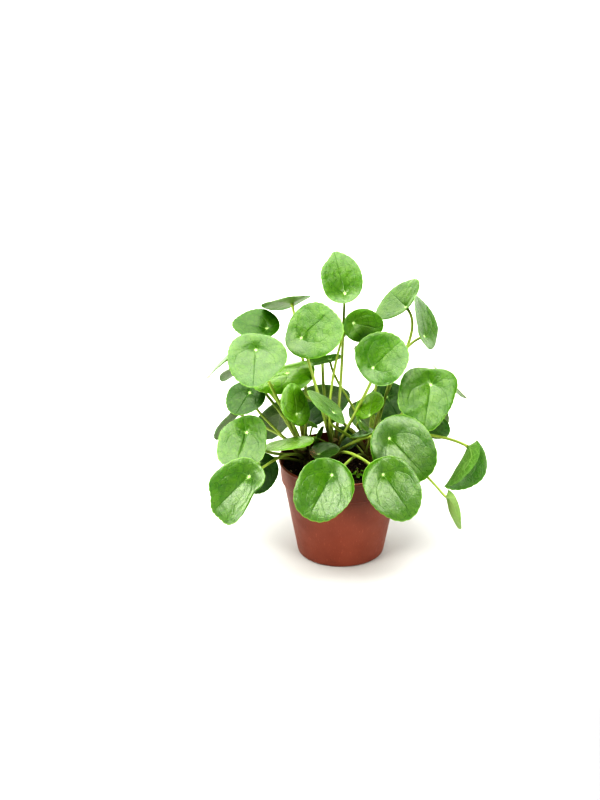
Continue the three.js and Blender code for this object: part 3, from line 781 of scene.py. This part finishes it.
def stalk_path(leaf, normal, socket, steps, chance):
    """Points along the stalk's curve, from inside its stem to the blade's underside."""
    stem = STEMS[leaf["stem"]]
    hub = np.array(leaf["hub"], float)
    axis = stem_point(stem, leaf["foot"])
    share = leaf["foot"] / stem["height"]
    stem_radius = STEM_FOOT_RADIUS + (STEM_TOP_RADIUS - STEM_FOOT_RADIUS) * share
    out = direction(leaf["turn"], 0)
    foot_radius = FOOT_RADIUS * stalk_size(leaf)
    clear = stem_radius + foot_radius * math.sin(math.radians(leaf["rise"])) + GAP
    cad_start = axis + out * clear
    span = np.linalg.norm(hub - cad_start)
    start = axis + out * stem_radius * 0.75
    fore = cad_start + direction(leaf["turn"], leaf["rise"]) * span * FORE_ARM
    end = hub + normal * (socket + 0.25)
    under = end - normal * span * leaf["hub_arm"]
    t = np.linspace(0, 1, steps)[:, None]
    path = ((1 - t) ** 3 * start + 3 * (1 - t) ** 2 * t * fore
            + 3 * (1 - t) * t ** 2 * under + t ** 3 * end)
    sway = np.sin(t * chance.uniform(5, 9) + chance.uniform(0, 6)) * t * (1 - t) * 1.2
    return path + sway * direction(chance.uniform(0, 360), 20)


def make_leaf(row, name, index):
    leaf = LEAF_DEFAULTS | dict(zip(ROW_KEYS, row)) | row[-1]
    chance = np.random.default_rng(LEAF_SEED + index)
    normal = direction(leaf["face"], 90 - leaf["tilt"])
    downhill = direction(leaf["face"], -leaf["tilt"])
    left = np.cross(normal, downhill)
    spin = math.radians(leaf["spin"])
    midrib = downhill * math.cos(spin) + left * math.sin(spin)
    axes = np.stack([midrib, np.cross(normal, midrib), normal])
    blade, faces, places, sides, socket = blade_mesh(leaf, chance)
    blade = blade @ axes + np.array(leaf["hub"], float)
    # the stalk swells at its foot and again where it meets the blade
    path = stalk_path(leaf, normal, socket, STALK_STEPS, chance)
    t = np.linspace(0, 1, STALK_STEPS)
    radii = FOOT_RADIUS + (HUB_RADIUS - FOOT_RADIUS) * t
    radii += 0.7 * np.exp(-t / 0.035) + 0.6 * np.exp(-(1 - t) / 0.018)
    stalk, stalk_faces = rod(path, stalk_size(leaf) * radii, STALK_AROUND)
    points, faces = joined([(blade, faces), (stalk, stalk_faces)])
    along = np.repeat(t, STALK_AROUND)
    across = np.tile(np.sin(even_turns(STALK_AROUND)), STALK_STEPS)
    scars = np.zeros(len(points))
    if leaf["mark"]:
        x, y, size = leaf["mark"]
        spots = places[:, :2] * (leaf["length"] / 2, leaf["width"] / 2)
        scars[:len(blade)] = np.exp(-((spots - (x, y)) ** 2).sum(1) / size ** 2)
    places = np.concatenate([places, np.stack([along, across, np.zeros(len(stalk))], 1)])
    sides = np.concatenate([sides, np.full(len(stalk), STALK_SIDE)])
    stalks = np.concatenate([np.zeros(len(blade)), along])
    halves = np.full(len(points), leaf["width"] / 2)
    # the first value of the look, dark, is the leaf's painted shade
    look = (leaf["dark"], leaf["young"], chance.uniform(0, 1))
    # a leaf with much painted shade takes the shaded copy of the material
    stuff = SHADED_LEAF if leaf["dark"] > PAINTED_SHADE_LIMIT else LEAF
    piece = make_mesh(f"fine_{name}", points, faces, stuff, {
        "blade": places, "part": np.stack([sides, stalks, halves], 1),
        "look": np.tile(look, (len(points), 1)), "scar": np.stack([scars, scars, scars], 1)})
    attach(piece, "root")
    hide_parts(name)


numbers = dict(left=0, mid=0, right=0)
for index, row in enumerate(LEAVES):
    numbers[row[0]] += 1
    make_leaf(row, f"leaf_{row[0]}_{numbers[row[0]]:02d}", index)

# ---------- stems ----------

STEM_ROWS, STEM_AROUND = 44, 36
# dry scales stand round the growing top, each this many degrees on from the one below
SCALE_COUNT, SCALE_TURN = 14, 137.5


def stem_scale(stem, i, chance):
    """Points and faces of one small dry scale, a thin five-cornered plate."""
    turn = SCALE_TURN * i
    out = direction(turn, 0)
    base = stem_point(stem, stem["height"] * (0.55 + 0.032 * i)) + out * 3.4
    tip = base + out * chance.uniform(1.2, 2.6) + np.array([0, 0, chance.uniform(3, 5.5)])
    across = direction(turn + 90, 0) * 1.3
    middle = (base + tip) / 2 + out * 0.7
    ring = [base - across, base + across, middle + across * 0.7, tip, middle - across * 0.7]
    faces = [(0, 1, 2, 3, 4), (9, 8, 7, 6, 5)]
    faces += [((k + 1) % 5, k, 5 + k, 5 + (k + 1) % 5) for k in range(5)]
    return np.concatenate([ring, np.array(ring) - out * 0.25]), faces


def make_stem(key, index):
    stem = STEMS[key]
    chance = np.random.default_rng(STEM_SEED + index)
    t = np.linspace(-0.06, 1, STEM_ROWS)
    path = np.array([stem_point(stem, h) for h in t * stem["height"]])
    radii = STEM_FOOT_RADIUS + (STEM_TOP_RADIUS - STEM_FOOT_RADIUS) * t
    # rings left by shed leaves, and a rounded top
    radii = radii + 0.35 * np.abs(np.sin(t * 19 + chance.uniform(0, 3))) ** 3
    radii = radii * np.where(t > 0.9, np.sqrt(np.clip(1 - ((t - 0.9) / 0.104) ** 2, 0.02, 1)), 1)
    points, faces = rod(path, radii, STEM_AROUND)
    turns = np.tile(even_turns(STEM_AROUND), STEM_ROWS)
    heights = np.repeat(t, STEM_AROUND)
    centres = np.repeat(path, STEM_AROUND, axis=0)
    knobs = 1 + 0.07 * np.sin(3 * turns + 9 * heights) + 0.05 * np.sin(7 * turns - 23 * heights)
    points = centres + (points - centres) * knobs[:, None]
    scales = [stem_scale(stem, i, chance) for i in range(SCALE_COUNT)]
    piece = make_mesh(f"crown_{key}", *joined([(points, faces), *scales]), STEM)
    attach(piece, "root")
    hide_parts(f"stem_{key}")


for index, key in enumerate(STEMS):
    make_stem(key, index)

# ---------- pot ----------

POT_HEIGHT, COLLAR_HEIGHT, WALL, POT_FLOOR = 97.0, 21.0, 1.3, 2.0
# the height of the ledge inside, where the collar's wall steps in
LEDGE = POT_HEIGHT - COLLAR_HEIGHT + WALL
AROUND_POT = 160
DRAIN_COUNT, DRAIN_RING, DRAIN_RADIUS, DRAIN_SIDES = 8, 28.0, 4.5, 32


def slope(start, end, shares):
    """Points of the straight line from start to end, at these shares of it."""
    return [tuple(np.add(start, np.subtract(end, start) * share)) for share in shares]


def pot_profile():
    """The pot's section as radius and height, from the underside round the lip to the floor."""
    underside = [(6, 0), (20, 0), (39.5, 0), (40.6, 0.25), (41.5, 1.0), (42, 2.5)]
    body = slope((42, 2.5), (55.4, 74.2), np.linspace(0.05, 0.97, 14))
    step = [(55.3, 74.6), (55.7, 75.05), (56.6, 75.25), (57.2, 75.5), (57.6, 76.1), (57.65, 77)]
    collar = slope((57.65, 77), (59.15, 93.6), np.linspace(0.1, 1, 7))
    lip = [(59.3, 94.1), (59.75, 94.5), (60, 95.0), (60, 96.2), (59.85, 96.75), (59.4, 97),
           (58.5, 97), (58.1, 96.8), (57.9, 96.3)]
    inner_collar = slope((57.9, 96.3), (56.3, 78.1), np.linspace(0.1, 0.97, 7))
    ledge = [(56.2, LEDGE + 0.1), (55.4, LEDGE - 0.6), (54.3, LEDGE - 1.0), (54.0, LEDGE - 2)]
    inner_body = slope((54.0, LEDGE - 2), (41.0, LEDGE - 72.3), np.linspace(0.1, 0.97, 8))
    floor = [(40.8, 3.0), (40.0, 2.1), (38.5, POT_FLOOR), (20, POT_FLOOR), (6, POT_FLOOR)]
    return underside + body + step + collar + lip + inner_collar + ledge + inner_body + floor


def make_drill():
    """One object that fills all the drain holes."""
    holes = []
    for i in range(DRAIN_COUNT):
        x, y, _ = DRAIN_RING * direction(360 * (i + 0.5) / DRAIN_COUNT, 0)
        path = [(x, y, height) for height in (-3, 1, 5)]
        holes.append(rod(path, [DRAIN_RADIUS] * len(path), DRAIN_SIDES))
    return make_mesh("drill", *joined(holes), POT_STUFF)


def make_pot():
    section = pot_profile()
    circle = unit_circle(AROUND_POT)
    rings = [level_ring(circle, radius, height) for radius, height in section]
    points = np.concatenate([*rings, [(0, 0, 0), (0, 0, POT_FLOOR)]])
    faces = grid_faces(len(section), AROUND_POT)
    faces += fan_faces(len(points) - 2, 0, AROUND_POT, flip=True)
    faces += fan_faces(len(points) - 1, (len(section) - 1) * AROUND_POT, AROUND_POT)
    pot = make_mesh("grower_pot", points, faces, POT_STUFF)
    cutter = make_drill()
    cut = pot.modifiers.new("drain holes", "BOOLEAN")
    cut.object = cutter
    cut.operation = "DIFFERENCE"
    cut.solver = "EXACT"
    graph = bpy.context.evaluated_depsgraph_get()
    drilled = bpy.data.meshes.new_from_object(pot.evaluated_get(graph))
    pot.modifiers.clear()
    pot.data = drilled
    bpy.data.objects.remove(cutter)
    pot.data.polygons.foreach_set("use_smooth", np.ones(len(pot.data.polygons), bool))
    pot.data.set_sharp_from_angle(angle=math.radians(50))
    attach(pot, "root")
    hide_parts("pot")


make_pot()

# ---------- soil ----------

SOIL_RINGS, SOIL_AROUND = 64, 200
SOIL_SIDE_HEIGHTS = (82, 78.2, 75.6, 60, 40, 20, 2.4)
# the pot's inner radius at these heights
INNER_HEIGHTS = (POT_FLOOR, LEDGE - 1, LEDGE, POT_HEIGHT)
INNER_RADII = (40.7, 54.1, 56.3, 57.9)
# lumps of the soil's top: turn of a wave in a millimetre, height and number of waves
LUMPS = ((0.12, 0.45, 5), (0.33, 0.32, 8), (0.9, 0.22, 14), (2.1, 0.13, 20))

CRUMB_COUNT, CRUMB_REACH, FIBRE_REACH = 1500, 55.0, 56
FIBRE_EVERY, BIG_CRUMB_EVERY, PALE_SHARE = 6, 11, 0.045
BIG_CRUMB, SMALL_CRUMB = 2.0, 1.25
FIBRE_RADII = (0.13, 0.2, 0.22, 0.22, 0.2, 0.1)
CORNERS = np.array([(x, y, z) for x in (-1, 1) for y in (-1, 1) for z in (-1, 1)], float)
BLOCK = [(0, 1, 3, 2), (4, 6, 7, 5), (0, 4, 5, 1), (2, 3, 7, 6), (0, 2, 6, 4), (1, 5, 7, 3)]


def soil_radius(height):
    """The soil's outer radius inside the pot at this height."""
    return np.interp(height, INNER_HEIGHTS, INNER_RADII) - GAP


def soil_height(x, y):
    """Lumpy top of the soil in millimetres, highest between the stems."""
    r = np.hypot(x, y)
    height = SOIL_TOP + SOIL_CROWN * (1 - smooth(r, 25, 56))
    chance = np.random.default_rng(SOIL_SEED)
    for pitch, size, waves in LUMPS:
        for _ in range(waves):
            heading = chance.uniform(0, TURN)
            phase = chance.uniform(0, TURN)
            rate = pitch * chance.uniform(0.7, 1.4)
            wave = np.sin(rate * (x * math.cos(heading) + y * math.sin(heading)) + phase)
            height = height + size / math.sqrt(waves) * 1.6 * wave
    return height


def make_soil():
    circle = unit_circle(SOIL_AROUND)
    edge = soil_radius(SOIL_TOP) - 0.1
    rows = [[(0, 0, float(soil_height(0.0, 0.0)))]]
    for share in np.linspace(0.015, 1, SOIL_RINGS):
        flat = share * edge * circle
        rows.append(np.column_stack([flat, soil_height(flat[:, 0], flat[:, 1])]))
    rows += [level_ring(circle, soil_radius(height), height) for height in SOIL_SIDE_HEIGHTS]
    rows.append([(0, 0, SOIL_SIDE_HEIGHTS[-1])])
    points = np.concatenate(rows)
    last = len(points) - 1
    faces = fan_faces(0, 1, SOIL_AROUND) + grid_faces(len(rows) - 2, SOIL_AROUND, 1, flip=True)
    faces += fan_faces(last, last - SOIL_AROUND, SOIL_AROUND, flip=True)
    soil = make_mesh("peat_bed", points, faces, SOIL_STUFF)
    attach(soil, "root")
    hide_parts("soil")


def fibre(x, y, chance):
    """Points and faces of a bent thread, or nothing where it would meet the pot's wall."""
    length = chance.uniform(3, 9)
    heading = direction(chance.uniform(0, 360), chance.uniform(-8, 14))
    bow = direction(chance.uniform(0, 360), 0) * chance.uniform(-1, 1)
    low = float(soil_height(x, y)) + 0.35
    t = np.linspace(-0.5, 0.5, len(FIBRE_RADII))[:, None]
    path = np.array([x, y, low]) + t * length * heading + (0.25 - t ** 2) * 4 * bow
    if np.hypot(path[:, 0], path[:, 1]).max() > FIBRE_REACH:
        return None
    return rod(path, FIBRE_RADII, 5)


def crumb(x, y, largest, chance):
    """Points and faces of an uneven lump of peat or bark, turned any way."""
    size = chance.uniform(0.35, 1.0) ** 1.5 * largest
    stretch = chance.uniform(0.55, 1.25, 3) * size
    turned = np.linalg.qr(chance.normal(size=(3, 3)))[0]
    if np.linalg.det(turned) < 0:
        turned[0] *= -1
    block = CORNERS * (1 - 0.35 * chance.uniform(0, 1, (8, 1))) * stretch
    low = float(soil_height(x, y)) + 0.45 * size
    return block @ turned + (x, y, low), BLOCK


def make_crumbs():
    """Lumps of peat, bits of bark and fibres that lie loose on the soil, as one piece."""
    chance = np.random.default_rng(CRUMB_SEED)
    shapes, looks = [], []
    for i in range(CRUMB_COUNT):
        r = CRUMB_REACH * math.sqrt(chance.uniform(0, 1))
        turn = chance.uniform(0, TURN)
        x, y = r * math.cos(turn), r * math.sin(turn)
        pale = 1.0 if chance.uniform() < PALE_SHARE else 0.0
        if i % FIBRE_EVERY == 0:
            shape, tones = fibre(x, y, chance), (0.3, 1)
        else:
            largest = BIG_CRUMB if i % BIG_CRUMB_EVERY == 0 else SMALL_CRUMB
            shape, tones = crumb(x, y, largest, chance), (0, 0.7)
        if shape is None:
            continue
        shapes.append(shape)
        looks.append(np.tile((chance.uniform(*tones), pale, 0), (len(shape[0]), 1)))
    crumbs = make_mesh("peat_crumbs", *joined(shapes), CRUMBS, {"look": np.concatenate(looks)})
    crumbs.data.set_sharp_from_angle(angle=math.radians(40))
    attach(crumbs, "root")


make_soil()
make_crumbs()

# ---------- seedling ----------

SEEDLING_FOOT = (16.0, -22.0, SOIL_TOP + SOIL_CROWN - 0.4)
SEEDLING_LEAVES, SEEDLING_TURN = 7, 51.4
TINY_STEPS, TINY_AROUND, TINY_RINGS = 7, 20, (0.35, 0.75, 1.0)


def seedling_blade(turn, top, chance):
    """Points and faces of a tiny round blade on the stalk that ends at top."""
    tilt = chance.uniform(5, 35)
    normal = direction(turn, 90 - tilt)
    downhill = direction(turn, -tilt)
    axes = np.stack([downhill, np.cross(normal, downhill), normal])
    angle = even_turns(TINY_AROUND)
    length, width = chance.uniform(3.2, 5.2), chance.uniform(2.8, 4.2)
    rows = [[(0, 0, -0.15)]]
    for share in TINY_RINGS:
        along = share * length * (0.42 + np.cos(angle) / 2)
        across = share * width / 2 * np.sin(angle)
        lift = 0.5 * share ** 2 - 0.2 * np.exp(-np.abs(across) / 0.4)
        rows.append(np.stack([along, across, lift], 1))
    upper = np.concatenate(rows)
    lower = upper - (0, 0, 0.3)
    count = len(upper)
    sheet = fan_faces(0, 1, TINY_AROUND) + grid_faces(len(TINY_RINGS), TINY_AROUND, 1, flip=True)
    points, faces = joined([(upper, sheet), (lower, [face[::-1] for face in sheet])])
    for j in range(TINY_AROUND):
        a, b = count - TINY_AROUND + j, count - TINY_AROUND + (j + 1) % TINY_AROUND
        faces.append((b, a, a + count, b + count))
    return points @ axes + top, faces


def make_seedling():
    """A tuft of tiny round leaves on thread-thin stalks."""
    chance = np.random.default_rng(SEEDLING_SEED)
    foot = np.array(SEEDLING_FOOT)
    shapes, parts = [], []
    for i in range(SEEDLING_LEAVES):
        turn = SEEDLING_TURN * i + chance.uniform(-15, 15)
        tall = chance.uniform(3.5, 8.5)
        out = chance.uniform(1.0, 3.6)
        top = foot + direction(turn, 0) * out + np.array([0, 0, tall])
        t = np.linspace(0, 1, TINY_STEPS)[:, None]
        path = foot + (top - foot) * t + direction(turn, 0) * (t * (1 - t)) * 1.2
        shapes.append(rod(path, np.linspace(0.42, 0.26, TINY_STEPS), 6))
        shapes.append(seedling_blade(turn, top, chance))
        for side, shape in zip((STALK_SIDE, 0), shapes[-2:]):
            parts.append(np.tile((side, 0.8, 3.0), (len(shape[0]), 1)))
    points, faces = joined(shapes)
    piece = make_mesh("young_seedling", points, faces, LEAF, {
        "blade": np.tile((0.5, 0.4, 0.5), (len(points), 1)), "part": np.concatenate(parts),
        "look": np.tile((0.0, 1.0, 0.4), (len(points), 1))})
    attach(piece, "root")
    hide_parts("seedling")


make_seedling()

# ---------- floor ----------

FLOOR_REACH, FLOOR_DROP = 60000, 0.2
corners = FLOOR_REACH * np.array([(-1, -1, 0), (1, -1, 0), (1, 1, 0), (-1, 1, 0)])
floor = make_mesh("floor", corners, [(0, 1, 2, 3)], FLOOR)
floor.location.z = -FLOOR_DROP * MM

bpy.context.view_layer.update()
